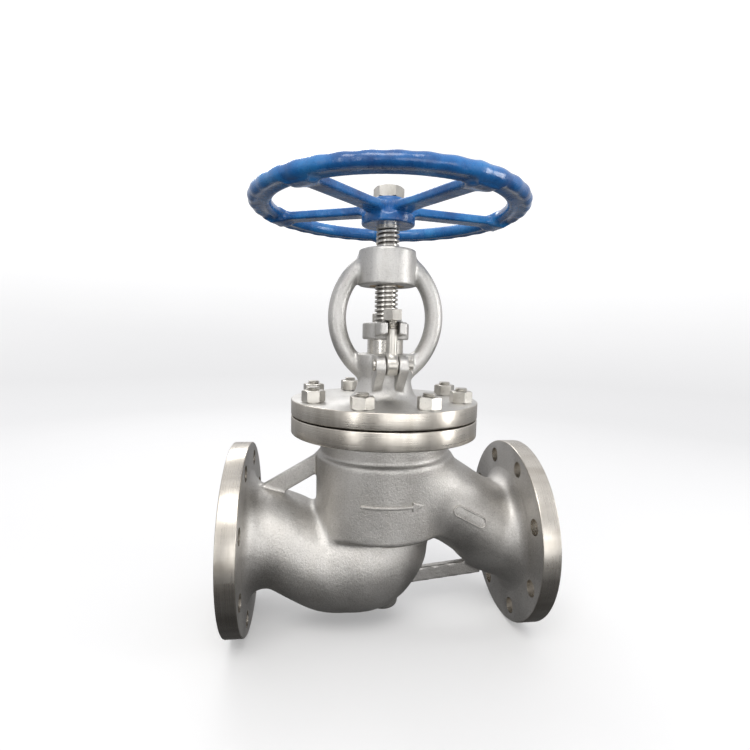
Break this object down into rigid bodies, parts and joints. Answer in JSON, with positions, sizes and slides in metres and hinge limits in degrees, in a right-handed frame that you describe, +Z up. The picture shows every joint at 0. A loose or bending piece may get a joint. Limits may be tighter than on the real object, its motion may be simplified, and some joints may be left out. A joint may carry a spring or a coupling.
{
  "type": "globe valve",
  "caption": "Flanged globe valve with a bolted bonnet, an arched outside-screw yoke, a swing-bolt gland and a rising spoked handwheel.",
  "frame": {"origin": "centre of the inlet flange's raised face", "axes": "+X along the flow from inlet to outlet, +Z up along the stem"},
  "size_m": [0.35, 0.3056, 0.5045],
  "materials": {
    "casting": "blasted stainless casting, satin",
    "machined_steel": "turned stainless steel",
    "fasteners": "bright stainless hexagon fasteners",
    "bronze": "turned bronze",
    "gasket": "graphite sheet",
    "packing": "braided graphite",
    "wheel_paint": "glossy blue enamel on a casting"
  },
  "bodies": {
    "valve_body": {"body": "casting", "seat_ring": "machined_steel", "bonnet_gasket": "gasket", "bonnet": "casting", "bonnet_studs": "fasteners", "bonnet_nuts": "fasteners", "back_seat_bush": "machined_steel", "packing_base_ring": "machined_steel", "packing_rings": "packing", "eyebolt_pin_front": "fasteners", "eyebolt_pin_rear": "fasteners", "split_pin_front": "fasteners", "split_pin_rear": "fasteners", "stem_nut": "bronze", "stem_nut_set_screw": "fasteners"},
    "disc_assembly": {"disc": "machined_steel", "disc_nut": "machined_steel"},
    "stem_assembly": {"stem": "machined_steel", "handwheel": "wheel_paint", "handwheel_nut": "fasteners"},
    "gland": {"gland_bush": "machined_steel", "gland_flange": "casting"},
    "front_eyebolt": {"eyebolt_front": "fasteners"},
    "rear_eyebolt": {"eyebolt_rear": "fasteners"},
    "front_gland_nut": {"gland_nut_front": "fasteners"},
    "rear_gland_nut": {"gland_nut_rear": "fasteners"}
  },
  "joints": [
    {"name": "stem_lift", "type": "slide", "parent": "valve_body", "child": "disc_assembly", "axis": [0, 0, 1], "range_m": [0, 0.025]},
    {"name": "handwheel_turn", "type": "hinge", "parent": "disc_assembly", "child": "stem_assembly", "pos_m": [0.175, 0, 0.375], "axis": [0, 0, 1], "range_deg": [0, 1800]},
    {"name": "gland_adjust", "type": "slide", "parent": "valve_body", "child": "gland", "axis": [0, 0, 1], "range_m": [-0.004, 0], "deforming": ["packing_rings"]},
    {"name": "front_eyebolt_swing", "type": "hinge", "parent": "valve_body", "child": "front_eyebolt", "pos_m": [0.175, -0.048, 0.203], "axis": [1, 0, 0], "range_deg": [0, 110]},
    {"name": "rear_eyebolt_swing", "type": "hinge", "parent": "valve_body", "child": "rear_eyebolt", "pos_m": [0.175, 0.048, 0.203], "axis": [-1, 0, 0], "range_deg": [0, 110]},
    {"name": "front_gland_nut_travel", "type": "slide", "parent": "front_eyebolt", "child": "front_gland_nut", "axis": [0, 0, 1], "range_m": [-0.004, 0]},
    {"name": "rear_gland_nut_travel", "type": "slide", "parent": "rear_eyebolt", "child": "rear_gland_nut", "axis": [0, 0, 1], "range_m": [-0.004, 0]}
  ],
  "couplings": [
    {"joint": "stem_lift", "follows": "handwheel_turn", "m_per_rad": 0.00079577},
    {"joint": "front_gland_nut_travel", "follows": "gland_adjust", "ratio": 1},
    {"joint": "rear_gland_nut_travel", "follows": "gland_adjust", "ratio": 1}
  ]
}
